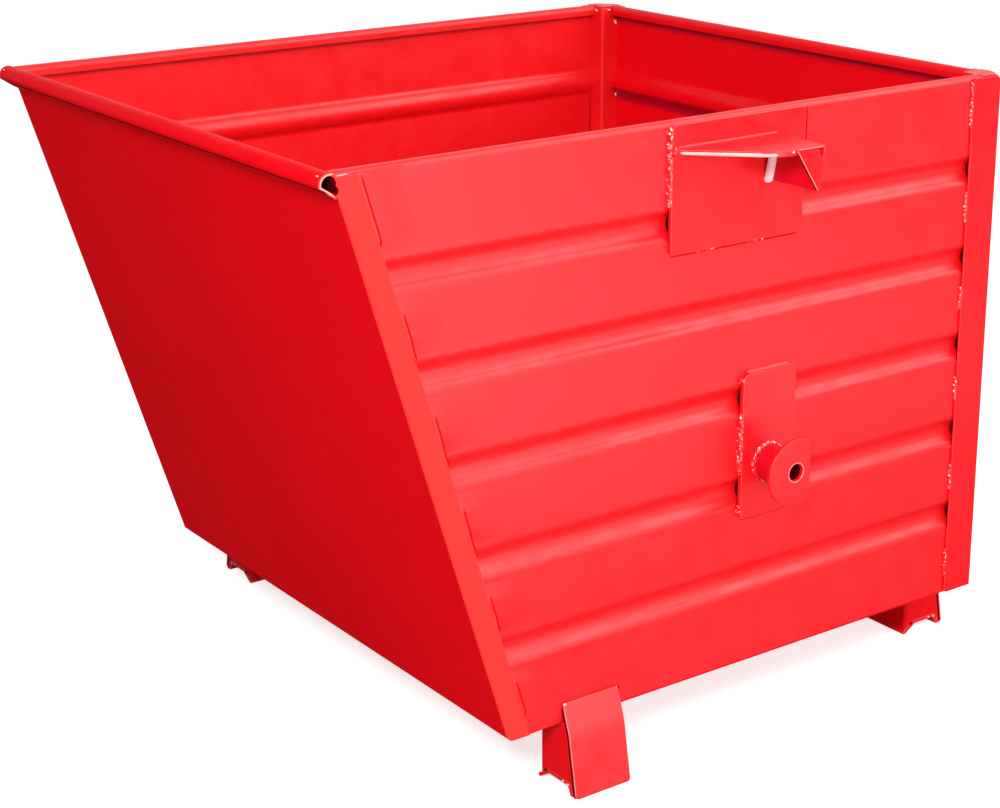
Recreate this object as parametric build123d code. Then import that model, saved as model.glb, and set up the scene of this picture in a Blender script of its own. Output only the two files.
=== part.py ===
from build123d import *
import math
import os

# Tipping hopper: welded sheet-steel box with a sloped pouring front and stacking feet.
# Millimetres, +Z up. The pouring front faces -Y and the trunnions stand out along +X and -X.
# The origin is the middle of the overall box, on the ground.

# Body
body_width = 800.0
body_height = 690.0
top_length = 973.0
floor_length = 760.0
sheet = 3.0
bend_radius = 5.0

# Swages pressed into the side and rear walls
swage_pitch = 115.0
swage_from_rim = 118.0
swage_height = 43.0
swage_depth = 10.0
swage_edge_radius = 11.8
swage_flank = 0.6
swage_free_below = 60.0

# Rim rolled inwards on the side and rear walls
rim_width = 16.0
rim_drop = 14.0
rim_outer_radius = 7.5

# Front flanges and rolled lip
flange_width = 30.0
flange_radius = 3.5
flange_drop = 5.0
flange_corner = 3.0
lip_reach = 14.0
lip_height = 27.0
lip_nose_drop = 14.8
lip_root_radius = 2.0
lip_nose_outer_radius = 12.0
lip_return_radius = 1.0

# Rear corners
post_leg = 50.0
post_radius = 0.5
post_corner = 5.0
post_crown = 15.0
corner_box = 35.0
corner_angle_radius = 2.0

# Trunnions
trunnion_from_rear = 379.0
trunnion_height = 259.0
trunnion_plate_width = 83.0
trunnion_plate_height = 182.0
trunnion_plate_below = 66.0
trunnion_plate_thickness = 7.0
trunnion_plate_corner = 9.0
trunnion_plate_toe = 3.0
stub_diameter = 45.0
stub_length = 45.0
disc_diameter = 84.0
disc_thickness = 5.0
disc_edge = 1.0
trunnion_bore = 21.0

# Latch ramps
latch_from_rear = 336.0
latch_plate_length = 200.0
latch_plate_height = 148.5
latch_plate_drop = 3.5
latch_plate_thickness = 6.0
latch_plate_corner = 6.0
ramp_from_rim = 30.0
ramp_from_plate_end = 49.0
ramp_thickness = 6.0
ramp_length = 148.0
ramp_reach = 86.0
ramp_heel = 9.0
ramp_tip_width = 5.0
ramp_tip_corner = 3.0
ramp_shoulder = 66.0
ramp_corner = 56.0
ramp_lip_length = 42.0
ramp_lip_drop = 53.0
ramp_lip_toe = 8.0
ramp_fold = 2.0
ramp_window_width = 8.0
ramp_window_drop = 10.0
ramp_window_edge = 2.0
gusset_thickness = 6.0

# Stacking feet
foot_height = 88.0
foot_length = 80.0
foot_inner = 45.5
foot_fold = 3.0
saddle_thickness = 5.0
saddle_clear = 11.7
saddle_inner = 27.0
saddle_outer = 9.0
saddle_inner_run = 18.0
saddle_end = 49.0
saddle_outer_run = 5.6
saddle_radius = 3.0
saddle_toe_radius = 2.0
guide_rise = 25.0
guide_bend_reach = 13.0
guide_bend_drop = 12.0
guide_reach = 26.6
guide_radius = 100.0
guide_corner = 4.5
front_foot_from_front = 77.0
rear_foot_from_side = 70.0

# Working values: the pieces are drawn from the rear face (y 0) and the underside of the floor (z 0)
half_width = body_width / 2
wall_face = half_width - sheet
front_reach = top_length + lip_reach
to_frame = Pos(0, (front_reach - guide_reach) / 2, foot_height)
slope = (top_length - floor_length) / body_height
slope_length = math.hypot(1, slope)
swage_room = body_height - swage_from_rim - swage_height / 2 - swage_free_below
swage_count = math.floor(swage_room / swage_pitch) + 1
swage_turn = 2 * math.atan(2 * swage_depth / swage_height)
swage_edge_reach = swage_edge_radius * math.tan(swage_turn / 2)
swage_edge = swage_height / 2 - swage_edge_reach
swage_bed_reach = swage_edge / math.cos(swage_turn) - swage_edge_reach - swage_flank
swage_bed_radius = swage_bed_reach / math.tan(swage_turn)

os.makedirs("parts", exist_ok=True)


def save(name, shape):
    """Move a finished piece into the shared frame and write it."""
    export_step(to_frame * shape, f"parts/{name}.step")


def save_pair(name, shape):
    """Write a piece of the right side and its mirror image on the left."""
    save(f"{name}_right", shape)
    save(f"{name}_left", mirror(shape, about=Plane.YZ))


def rounded_face(points, radii):
    """Closed outline whose corners each have their own radius, 0 for a sharp one."""
    face = make_face(Polyline(*points, close=True))
    for radius in sorted(set(radii) - {0}):
        corners = [Vector(*p) for p, r in zip(points, radii) if r == radius]
        chosen = [v for v in face.vertices() if min((Vector(*v) - c).length for c in corners) < 0.001]
        face = fillet(chosen, radius)
    return face


def offset_line(points, distance):
    """Points of a parallel line, to the left of the way the points run."""
    steps = [(Vector(*b) - Vector(*a)).normalized() for a, b in zip(points, points[1:])]
    normals = [Vector(-s.Y, s.X) for s in steps]
    moved = [Vector(*points[0]) + normals[0] * distance]
    for point, before, after in zip(points[1:-1], normals, normals[1:]):
        mitre = (before + after) * (distance / (1 + before.dot(after)))
        moved.append(Vector(*point) + mitre)
    moved.append(Vector(*points[-1]) + normals[-1] * distance)
    return [(p.X, p.Y) for p in moved]


def bent_sheet(points, inside_radii, thickness=sheet):
    """Section of a bent sheet: points run along one face and the sheet lies to their left."""
    near_radii = []
    far_radii = []
    for a, b, c, radius in zip(points, points[1:], points[2:], inside_radii):
        turn = (b[0] - a[0]) * (c[1] - b[1]) - (b[1] - a[1]) * (c[0] - b[0])
        near_radii.append(radius + thickness if turn > 0 else radius)
        far_radii.append(radius if turn > 0 else radius + thickness)
    far = offset_line(points, thickness)
    outline = list(points) + far[::-1]
    return rounded_face(outline, [0] + near_radii + [0, 0] + far_radii[::-1] + [0])


def prism(face, plane, depth, both=False):
    """Push an outline drawn on a plane out along the plane's normal."""
    return extrude(plane * face, amount=depth, both=both)


def corner_waste(radius):
    """What rounding takes off a square corner that stands at the origin and points up and right."""
    square = Pos(-radius / 2, -radius / 2) * Rectangle(radius, radius)
    return square - Pos(-radius, -radius) * Circle(radius)


def front_y(z, inward=0.0):
    """Y of the front sheet's outer face at a height, or of a parallel face further in."""
    return -floor_length - slope * z + inward * slope_length


# Front and floor: one sheet, rolled into a lip at the top and bent into the floor
front_normal = Vector(-1, -slope).normalized()
lip_foot = Vector(front_y(body_height - lip_height), body_height - lip_height) + front_normal * sheet
inside_line = [
    (-2 * sheet, sheet),
    (front_y(sheet, sheet), sheet),
    (front_y(body_height, sheet), body_height),
    (-front_reach, body_height),
    (-front_reach, body_height - lip_nose_drop),
    (lip_foot.X, lip_foot.Y),
]
inside_radii = [bend_radius, lip_root_radius, lip_nose_outer_radius - sheet, lip_return_radius]
front_section = bent_sheet(inside_line, inside_radii)
front_floor = prism(front_section, Plane.YZ, half_width, both=True)
bend_turn = math.pi / 2 - math.atan(slope)
bend_end = -floor_length + (bend_radius + sheet) * math.tan(bend_turn / 2)
beside_floor = Pos(half_width, bend_end, sheet / 2) * Box(
    2 * (half_width - wall_face + sheet), -2 * bend_end, sheet, align=(Align.CENTER, Align.MIN, Align.CENTER)
)
front_floor -= beside_floor
front_floor -= mirror(beside_floor, about=Plane.YZ)
flange_top = body_height - flange_drop
flange_outline = [
    (front_y(0), 0),
    (front_y(0) + flange_width, 0),
    (front_y(flange_top) + flange_width, flange_top),
    (front_y(flange_top), flange_top),
]
flange_face = rounded_face(flange_outline, [bend_radius + sheet, 0, flange_corner, 0])
flange = prism(flange_face, Plane.YZ.offset(wall_face), sheet)
front_floor += flange
front_floor += mirror(flange, about=Plane.YZ)
fold_top = body_height - lip_height - sheet
fold_plane = Plane(origin=(half_width, front_y(fold_top), fold_top), x_dir=(1, 0, 0), z_dir=(0, slope, -1))
fold = prism(corner_waste(flange_radius), fold_plane, body_height * slope_length)
front_floor -= fold
front_floor -= mirror(fold, about=Plane.YZ)
save("front_floor_sheet", front_floor)

# Side and rear walls: one swaged section with a rolled rim
wall_line = [(0, 0)]
wall_radii = []
for number in reversed(range(swage_count)):
    middle = body_height - swage_from_rim - number * swage_pitch
    wall_line.append((0, middle - swage_edge))
    wall_line.append((-swage_edge * math.tan(swage_turn), middle))
    wall_line.append((0, middle + swage_edge))
    wall_radii.extend([swage_edge_radius - sheet, swage_bed_radius, swage_edge_radius - sheet])
wall_line.append((0, body_height))
wall_line.append((-rim_width, body_height))
wall_line.append((-rim_width, body_height - rim_drop))
wall_radii.extend([rim_outer_radius - sheet] * 2)
wall_section = bent_sheet(wall_line, wall_radii)

side_plane = Plane(origin=(wall_face, -corner_box, 0), x_dir=(1, 0, 0), z_dir=(0, -1, 0))
side_outline = [
    (-corner_box, 0),
    (bend_end, 0),
    (bend_end, sheet),
    (front_y(sheet + bend_radius, sheet), sheet + bend_radius),
    (front_y(body_height, sheet), body_height),
    (-corner_box, body_height),
]
side_limits = prism(rounded_face(side_outline, [0] * len(side_outline)), Plane.YZ, half_width)
side_wall = prism(wall_section, side_plane, top_length) & side_limits
save_pair("side_wall", side_wall)

rear_half = half_width - corner_box
rear_plane = Plane(origin=(-rear_half, -sheet, 0), x_dir=(0, 1, 0), z_dir=(1, 0, 0))
save("rear_wall", prism(wall_section, rear_plane, 2 * rear_half))

# Rear corners: lapped outer post, inner angle and a cap that lies on both
crown_plane = Plane(origin=(half_width, 0, body_height), x_dir=(1, 1, 0), z_dir=(1, -1, 0))
crown = prism(corner_waste(post_crown), crown_plane, post_leg, both=True)
post_line = [(half_width, -post_leg), (half_width, 0), (half_width - post_leg, 0)]
post = extrude(bent_sheet(post_line, [post_radius]), amount=body_height - sheet)
post_ends = post.edges().filter_by(Axis.X).group_by(Axis.Y)[0] + post.edges().filter_by(Axis.Y).group_by(Axis.X)[0]
post = fillet(post_ends, post_corner)
save_pair("corner_post", post - crown)

box_face = half_width - corner_box
angle_line = [(box_face, -sheet), (box_face, -corner_box), (wall_face, -corner_box)]
angle_section = bent_sheet(angle_line, [corner_angle_radius])
angle = prism(angle_section, Plane.XY.offset(sheet), body_height - 2 * sheet)
save_pair("corner_angle", angle)

cap_outline = [(box_face, 0), (box_face, -corner_box), (half_width, -corner_box), (half_width, 0)]
cap_face = rounded_face(cap_outline, [0, corner_angle_radius + sheet, 0, post_radius + sheet])
save_pair("corner_cap", prism(cap_face, Plane.XY.offset(body_height - sheet), sheet) - crown)

# Trunnions: plate over two swages, bored stub and end disc
stub_face = wall_face + trunnion_plate_thickness
disc_face = stub_face + stub_length
trunnion_plane = Plane(origin=(wall_face, -trunnion_from_rear, trunnion_height), x_dir=(0, 1, 0), z_dir=(1, 0, 0))
plate_half = trunnion_plate_width / 2
plate_top = trunnion_plate_height - trunnion_plate_below
plate_outline = [
    (-plate_half, -trunnion_plate_below),
    (plate_half, -trunnion_plate_below),
    (plate_half, plate_top),
    (-plate_half, plate_top),
]
plate_radii = [trunnion_plate_toe, trunnion_plate_toe, trunnion_plate_corner, trunnion_plate_corner]
plate_face = rounded_face(plate_outline, plate_radii)
save_pair("trunnion_plate", prism(plate_face, trunnion_plane, trunnion_plate_thickness))

stub_ring = Circle(stub_diameter / 2) - Circle(trunnion_bore / 2)
save_pair("trunnion_stub", prism(stub_ring, trunnion_plane.offset(trunnion_plate_thickness), stub_length))

disc_ring = Circle(disc_diameter / 2) - Circle(trunnion_bore / 2)
disc_plane = trunnion_plane.offset(disc_face - wall_face)
disc = prism(disc_ring, disc_plane, disc_thickness)
disc_rims = disc.edges().filter_by(GeomType.CIRCLE).group_by(SortBy.RADIUS)[-1]
save_pair("trunnion_disc", chamfer(disc_rims, disc_edge))

# Latch ramps: backing plate, ramp with a folded lip, gusset
latch_middle_y = -latch_from_rear - latch_plate_length / 2
latch_middle_z = body_height - latch_plate_drop - latch_plate_height / 2
latch_plane = Plane(origin=(wall_face, latch_middle_y, latch_middle_z), x_dir=(0, 1, 0), z_dir=(1, 0, 0))
latch_face = RectangleRounded(latch_plate_length, latch_plate_height, latch_plate_corner)
save_pair("latch_plate", prism(latch_face, latch_plane, latch_plate_thickness))

ramp_root = wall_face + latch_plate_thickness
ramp_end = ramp_root + ramp_reach
ramp_rear = -latch_from_rear - ramp_from_plate_end
ramp_top = body_height - ramp_from_rim
ramp_outline = [
    (ramp_root, ramp_rear + ramp_heel),
    (ramp_root, ramp_rear - ramp_length),
    (ramp_root + ramp_tip_width, ramp_rear - ramp_length),
    (ramp_end, ramp_rear - ramp_shoulder),
    (ramp_end, ramp_rear),
]
ramp_face = rounded_face(ramp_outline, [0, 0, ramp_tip_corner, ramp_corner, 0])
ramp = prism(ramp_face, Plane.XY.offset(ramp_top - ramp_thickness), ramp_thickness)
lip_outline = [
    (ramp_rear - ramp_lip_length, ramp_top),
    (ramp_rear - ramp_lip_toe, ramp_top - ramp_lip_drop),
    (ramp_rear, ramp_top - ramp_lip_drop / 2),
    (ramp_rear, ramp_top),
]
window_rear = ramp_rear - ramp_window_edge
window_top = ramp_top - ramp_thickness
window_outline = [
    (window_rear - ramp_window_width, window_top),
    (window_rear, window_top - ramp_window_drop),
    (window_rear, window_top),
]
lip_face = make_face(Polyline(*lip_outline, close=True)) - make_face(Polyline(*window_outline, close=True))
ramp += prism(lip_face, Plane.YZ.offset(ramp_end - ramp_thickness), ramp_thickness)
fold_edge = ramp.edges().filter_by(Axis.Y).group_by(Axis.Z)[-1].group_by(Axis.X)[-1]
save_pair("latch_ramp", fillet(fold_edge, ramp_fold))

gusset_place = Pos(ramp_root, ramp_rear, ramp_top - ramp_thickness)
gusset_corner = (Align.MIN, Align.MAX, Align.MAX)
gusset_width = ramp_reach - ramp_thickness
gusset_height = ramp_lip_drop - ramp_thickness
save_pair("latch_gusset", gusset_place * Box(gusset_width, gusset_thickness, gusset_height, align=gusset_corner))

# Stacking feet, drawn with x outwards from the body's outer face and y along the wall
ground = Plane.XY.offset(-foot_height)
guide_slope = (guide_reach - guide_bend_reach) / (foot_height - guide_bend_drop)
guide_below = foot_height + sheet
guide_line = [
    (guide_reach + guide_slope * sheet, -guide_below),
    (guide_bend_reach, -guide_bend_drop),
    (0, guide_rise),
]
foot_plane = Plane.XZ.offset(-foot_length)
guide = split(prism(bent_sheet(guide_line, [guide_radius]), foot_plane, foot_length), ground, keep=Keep.TOP)
guide = fillet(guide.edges().filter_by(Axis.X).group_by(Axis.Z)[0], guide_corner)
guide_inside = offset_line(guide_line, sheet)


def guide_inside_x(z):
    """How far out the guide's inner face is at a height."""
    low, bend, high = guide_inside
    start, end = (low, bend) if z < bend[1] else (bend, high)
    return start[0] + (end[0] - start[0]) * (z - start[1]) / (end[1] - start[1])


saddle_roof = saddle_clear - foot_height
inner_slope = saddle_inner_run / saddle_clear
outer_slope = saddle_outer_run / saddle_clear
leg_length = saddle_clear + 2 * saddle_thickness
saddle_line = [
    (-saddle_inner - leg_length * inner_slope, saddle_roof - leg_length),
    (-saddle_inner, saddle_roof),
    (saddle_outer, saddle_roof),
    (saddle_outer + leg_length * outer_slope, saddle_roof - leg_length),
]
saddle_section = bent_sheet(saddle_line, [saddle_radius, saddle_radius], saddle_thickness)
saddle = split(prism(saddle_section, foot_plane, foot_length), ground, keep=Keep.TOP)
saddle = split(saddle, Plane.YZ.offset(-saddle_end), keep=Keep.TOP)
saddle = fillet(saddle.edges().filter_by(Axis.Y).group_by(Axis.Z)[0], saddle_toe_radius)

over_saddle = offset_line(saddle_line, saddle_thickness)
channel_limits = [
    *over_saddle,
    (guide_inside_x(over_saddle[-1][1]), over_saddle[-1][1]),
    guide_inside[1],
    (guide_inside_x(0), 0),
    (over_saddle[0][0], 0),
]
limit_radii = [0] * (len(channel_limits) - 3) + [guide_radius, 0, 0]
limit_prism = prism(rounded_face(channel_limits, limit_radii), foot_plane, foot_length)
channel_line = [(-foot_inner, foot_length), (-foot_inner, 0), (guide_reach, 0)]
channel = extrude(bent_sheet(channel_line, [foot_fold]), amount=-foot_height) & limit_prism

front_place = Pos(half_width, front_foot_from_front - floor_length, 0)
rear_place = Pos(half_width - rear_foot_from_side, 0, 0) * Rot(0, 0, 90)
for end, place in [("front", front_place), ("rear", rear_place)]:
    save_pair(f"foot_{end}_channel", place * channel)
    save_pair(f"foot_{end}_saddle", place * saddle)
    save_pair(f"foot_{end}_guide", place * guide)
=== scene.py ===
import math
import random

import bmesh
import bpy
from mathutils import Matrix, Vector, noise


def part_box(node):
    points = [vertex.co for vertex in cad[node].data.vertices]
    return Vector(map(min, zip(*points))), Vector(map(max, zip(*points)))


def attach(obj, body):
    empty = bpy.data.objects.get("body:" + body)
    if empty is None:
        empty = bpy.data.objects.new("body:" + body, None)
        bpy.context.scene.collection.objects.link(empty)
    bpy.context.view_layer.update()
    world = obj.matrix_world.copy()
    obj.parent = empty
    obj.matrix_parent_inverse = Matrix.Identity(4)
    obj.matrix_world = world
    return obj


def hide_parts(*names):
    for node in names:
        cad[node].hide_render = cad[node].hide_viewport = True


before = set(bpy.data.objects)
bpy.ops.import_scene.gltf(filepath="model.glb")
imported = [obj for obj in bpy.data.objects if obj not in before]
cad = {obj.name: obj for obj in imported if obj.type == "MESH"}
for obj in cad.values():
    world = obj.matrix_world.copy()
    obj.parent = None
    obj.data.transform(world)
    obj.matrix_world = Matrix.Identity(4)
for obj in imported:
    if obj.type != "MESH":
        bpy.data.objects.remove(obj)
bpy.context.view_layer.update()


# Front and floor sheet
# One 3 mm steel sheet: rolled into a lip at the top, bent into the floor at the bottom and flanged
# back over both side walls. The whole hopper is sprayed red after welding and then baked. Its forward
# face takes a deeper copy of the red as painted shade, and its flanges a lighter one as painted sheen.
# The hollow of the rolled lip is painted near-black as painted shade.
red = (0.90, 0.006, 0.011)
# Painted shade: a deeper copy of the red, with less sheen in it, for faces that look forwards.
forward_shade_red = (0.90, 0.001, 0.008)
# Painted sheen: a lighter, more orange copy of the red for faces that look sideways.
side_sheen_red = (0.90, 0.034, 0.030)
# Painted shadow: the red of faces that lie in the shadow under an overhang.
shaded_red = (0.38, 0.0, 0.022)
# Painted highlight: a light pink for faces right at an edge, where a rounded edge catches the light.
edge_highlight_red = (0.95, 0.30, 0.27)
# Painted glint: near-white for the lamps' glints on the high spots of welds.
weld_glint_white = (0.95, 0.80, 0.77)
# Painted shade: a near-black for hollows and tunnels where shade lies.
recess_shade_dark = (0.16, 0.001, 0.006)


def red_paint(
    name, tone, roughness, gloss, seed, edge_light=0.5, waviness=0.35, shaded_hollows=(), sideways_sheen=None, glint_amount=0.0,
    shadow_bands=(),
):
    """Baked red enamel: drift in tone, orange peel, soft waves of the sheet and a painted highlight on edges.

    Each row of hollows says where the faces are painted near-black, matt metal as painted shade: a kind, a
    middle, half sizes and the way that the faces there look, alike on both sides. The sideways sheen pair
    gives a distance from the middle and a tone that the sheet takes past it, a painted sheen for faces that
    look sideways. The glint amount is how much painted near-white glint shows on a bead's high spots. Each
    row of shadow bands gives heights between which faces that look forwards, under an overhang, take a
    painted shadow.
    """
    material = bpy.data.materials.new(name)
    material.use_nodes = True
    tree = material.node_tree
    shader = tree.nodes["Principled BSDF"]
    shader.inputs["Specular IOR Level"].default_value = gloss

    def add(kind, *sources, **values):
        node = tree.nodes.new(kind)
        for key, value in values.items():
            if key in node.inputs:
                node.inputs[key].default_value = value
            else:
                setattr(node, key, value)
        for socket, source in enumerate(sources):
            if hasattr(source, "is_linked"):
                tree.links.new(source, node.inputs[socket])
            else:
                node.inputs[socket].default_value = source
        return node

    place = add("ShaderNodeTexCoord").outputs["Object"]

    def cloud(scale, detail):
        shifted = add("ShaderNodeMapping", place, Location=(seed * 0.37, seed * 0.61, seed * 0.23))
        grains = add("ShaderNodeTexNoise", shifted.outputs[0], Scale=scale, Detail=detail, Roughness=0.55)
        return grains.outputs["Fac"]

    def blended(factor, first, second):
        mixed = add("ShaderNodeMix", data_type="RGBA")
        tree.links.new(factor, mixed.inputs[0])
        tree.links.new(first, mixed.inputs[6])
        mixed.inputs[7].default_value = (*second, 1)
        return mixed.outputs[2]

    drift = add("ShaderNodeValToRGB", cloud(4.5, 4.0))
    drift.color_ramp.elements[0].position = 0.32
    drift.color_ramp.elements[0].color = (tone[0] * 0.93, tone[1] * 0.72, tone[2] * 0.80, 1)
    drift.color_ramp.elements[1].position = 0.68
    drift.color_ramp.elements[1].color = (*tone, 1)
    grain = add("ShaderNodeValToRGB", cloud(300.0, 2.0))
    grain.color_ramp.elements[0].position = 0.36
    grain.color_ramp.elements[0].color = (0.90, 0.90, 0.90, 1)
    grain.color_ramp.elements[1].position = 0.64
    speckled = add("ShaderNodeMix", data_type="RGBA", blend_type="MULTIPLY")
    speckled.inputs[0].default_value = 1.0
    tree.links.new(drift.outputs["Color"], speckled.inputs[6])
    tree.links.new(grain.outputs["Color"], speckled.inputs[7])
    colour = speckled.outputs[2]
    # Painted glints: near-white specks on a bead's high spots stand for the lamps' glints on it.
    if glint_amount:
        high_spots = add("ShaderNodeMapRange", cloud(270.0, 3.0), 0.55, 0.61, 0.0, glint_amount)
        patches = add("ShaderNodeMapRange", cloud(75.0, 1.0), 0.40, 0.52, 0.25, 1.0)
        glint_share = add("ShaderNodeMath", high_spots.outputs[0], patches.outputs[0], operation="MULTIPLY")
        colour = blended(glint_share.outputs[0], colour, weld_glint_white)
    split = add("ShaderNodeSeparateXYZ", place)
    outwards = add("ShaderNodeMath", split.outputs["X"], operation="ABSOLUTE").outputs[0]
    # Painted sheen: past a distance from the middle, the sheet takes a lighter tone for faces that look
    # sideways.
    if sideways_sheen:
        past = add("ShaderNodeMath", outwards, sideways_sheen[0], operation="GREATER_THAN").outputs[0]
        colour = blended(past, colour, sideways_sheen[1])

    # Painted shadow: between the given heights, faces that look forwards take the shaded red of the shadow
    # under an overhang.
    for low, high in shadow_bands:
        bottom = add("ShaderNodeMapRange", split.outputs["Z"], low - 0.004, low + 0.004)
        top = add("ShaderNodeMapRange", split.outputs["Z"], high + 0.001, high - 0.003)
        band = add("ShaderNodeMath", bottom.outputs[0], top.outputs[0], operation="MULTIPLY").outputs[0]
        inner = add("ShaderNodeSeparateXYZ", add("ShaderNodeNewGeometry").outputs["True Normal"])
        faces_in = add("ShaderNodeMath", inner.outputs["Y"], -0.2, operation="LESS_THAN").outputs[0]
        shaded = add("ShaderNodeMath", band, faces_in, operation="MULTIPLY").outputs[0]
        colour = blended(shaded, colour, shaded_red)

    sheen = add("ShaderNodeMapRange", cloud(26.0, 3.0), 0.3, 0.7, roughness - 0.07, roughness + 0.07)
    matt = sheen.outputs["Result"]

    eased = add("ShaderNodeBevel", samples=8, Radius=0.0012)
    # Painted highlight: faces turn light pink near an edge, where a rounded edge would catch the light.
    if edge_light:
        true_face = add("ShaderNodeNewGeometry").outputs["Normal"]
        turned = add("ShaderNodeVectorMath", eased.outputs["Normal"], true_face, operation="DOT_PRODUCT")
        near_edge = add("ShaderNodeMapRange", turned.outputs["Value"], 0.97, 0.76, 0.0, edge_light)
        colour = blended(near_edge.outputs["Result"], colour, edge_highlight_red)

    # Painted shade: inside the given hollows and tunnels the paint turns near-black, matt metal for the shade
    # there.
    if shaded_hollows:
        folded = add("ShaderNodeCombineXYZ", outwards, split.outputs["Y"], split.outputs["Z"])
        lean = add("ShaderNodeSeparateXYZ", add("ShaderNodeNewGeometry").outputs["True Normal"])
        sign = add("ShaderNodeMath", split.outputs["X"], operation="SIGN").outputs[0]
        sideways = add("ShaderNodeMath", lean.outputs["X"], sign, operation="MULTIPLY").outputs[0]
        looks = add("ShaderNodeCombineXYZ", sideways, lean.outputs["Y"], lean.outputs["Z"])
        shade_mask = None
        for kind, middle, half, way in shaded_hollows:
            offset = add("ShaderNodeVectorMath", folded.outputs[0], tuple(middle), operation="SUBTRACT")
            share = add("ShaderNodeVectorMath", offset.outputs[0], tuple(half), operation="DIVIDE")
            if kind == "round":
                depth = add("ShaderNodeVectorMath", share.outputs[0], operation="LENGTH").outputs["Value"]
            else:
                sizes = add("ShaderNodeVectorMath", share.outputs[0], operation="ABSOLUTE")
                axes = add("ShaderNodeSeparateXYZ", sizes.outputs[0])
                level = add("ShaderNodeMath", axes.outputs["Y"], axes.outputs["Z"], operation="MAXIMUM")
                worst = add("ShaderNodeMath", axes.outputs["X"], level.outputs[0], operation="MAXIMUM")
                depth = worst.outputs[0]
            inside = add("ShaderNodeMath", depth, 1.0, operation="LESS_THAN").outputs[0]
            if way:
                facing = add("ShaderNodeVectorMath", looks.outputs[0], way, operation="DOT_PRODUCT")
                seen = add("ShaderNodeMath", facing.outputs["Value"], 0.2, operation="GREATER_THAN")
                inside = add("ShaderNodeMath", inside, seen.outputs[0], operation="MULTIPLY").outputs[0]
            if shade_mask:
                inside = add("ShaderNodeMath", shade_mask, inside, operation="MAXIMUM").outputs[0]
            shade_mask = inside
        colour = blended(shade_mask, colour, recess_shade_dark)
        matt = add("ShaderNodeMath", matt, shade_mask, operation="MAXIMUM").outputs[0]
        tree.links.new(shade_mask, shader.inputs["Metallic"])

    tree.links.new(colour, shader.inputs["Base Color"])
    tree.links.new(matt, shader.inputs["Roughness"])
    waves = add("ShaderNodeBump", Strength=waviness, Distance=0.0025)
    tree.links.new(cloud(7.0, 1.0), waves.inputs["Height"])
    tree.links.new(eased.outputs["Normal"], waves.inputs["Normal"])
    peel = add("ShaderNodeBump", Strength=0.5, Distance=0.00025)
    tree.links.new(cloud(330.0, 2.0), peel.inputs["Height"])
    tree.links.new(waves.outputs["Normal"], peel.inputs["Normal"])
    tree.links.new(peel.outputs["Normal"], shader.inputs["Normal"])
    return material


def finish_nodes(material, *names):
    """Give carried-over pieces their paint."""
    for name in names:
        cad[name].data.materials.clear()
        cad[name].data.materials.append(material)


skin = 0.0001
all_across = 10.0
hollow_radius = 0.0092
throat_radius = 0.0055
sheet_low, sheet_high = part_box("front_floor_sheet")
lip_hollow = Vector((0.0, sheet_low.y + 0.0105, sheet_high.z - 0.0115))
lip_throat = Vector((0.0, sheet_low.y + 0.0170, sheet_high.z - 0.0190))
# Painted shade: the hollow and throat of the rolled lip are painted near-black for the shade inside the roll.
shaded_lip = [
    ("round", lip_hollow, (all_across, hollow_radius, hollow_radius), None),
    ("round", lip_throat, (all_across, throat_radius, throat_radius), None),
]
wall_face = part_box("side_wall_right")[1].x
# Painted sheen: past the side wall's face, the flanges look sideways and take the lighter copy of the red.
flange_sheen = (wall_face + skin, side_sheen_red)
front_paint = red_paint(
    "front_paint", forward_shade_red, roughness=0.36, gloss=0.02, seed=1, edge_light=0.35, shaded_hollows=shaded_lip,
    sideways_sheen=flange_sheen,
)
finish_nodes(front_paint, "front_floor_sheet")

# Side and rear walls
# 3 mm sheets pressed with five swages each and rolled into a small inward rim along the top. Where
# a plate or post is welded over a swage, the groove runs on behind it as a tunnel, and the shade in it
# is painted near-black a few millimetres behind the edge.
floor_under = sheet_low.z
tunnel_low = floor_under + 0.084
tunnel_high = floor_under + 0.600
wall_depth = 0.008
under_face = 0.0002
# Painted shade: how far behind the edge of each plate and post the groove stays red before it is painted
# near-black.
lit_behind_edge = {"trunnion_plate": 0.0054, "latch_plate": 0.0050, "corner_post": 0.0070}
shaded_grooves = []
for over, lit_depth in lit_behind_edge.items():
    low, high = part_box(f"{over}_right")
    bottom, top = max(low.z, tunnel_low), min(high.z, tunnel_high)
    middle = Vector((wall_face - wall_depth - under_face, (low.y + high.y) / 2, (bottom + top) / 2))
    half = Vector((wall_depth, (high.y - low.y) / 2 - lit_depth, (top - bottom) / 2))
    shaded_grooves.append(("box", middle, half, (1, 0, 0)))
wall_paint = red_paint(
    "wall_paint", red, roughness=0.42, gloss=0.52, seed=2, edge_light=0.3, shaded_hollows=shaded_grooves
)
finish_nodes(wall_paint, "side_wall_right", "side_wall_left")

post_low, post_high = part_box("corner_post_right")
rear_face = post_high.y
rear_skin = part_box("rear_wall")[1].y
post_half = 0.025
tunnel_half = (tunnel_high - tunnel_low) / 2
behind_post = Vector((post_low.x + post_half, rear_skin - wall_depth - under_face, tunnel_low + tunnel_half))
behind_post_half = Vector((post_half - lit_behind_edge["corner_post"], wall_depth, tunnel_half))
# Painted shade: the rear wall's groove behind each post is painted near-black.
behind_posts = [("box", behind_post, behind_post_half, (0, 1, 0))]
# Painted shadow: bands under the rim and under the top swage, on faces that look forwards, take the shaded
# red.
under_rim = (floor_under + 0.665, floor_under + 0.677)
under_swage = (floor_under + 0.546, floor_under + 0.566)
# The rear wall takes the deeper, painted-shade copy of the red.
rear_paint = red_paint(
    "rear_paint", forward_shade_red, roughness=0.42, gloss=0.22, seed=2, edge_light=0.3, shaded_hollows=behind_posts,
    shadow_bands=(under_rim, under_swage),
)
finish_nodes(rear_paint, "rear_wall")

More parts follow.
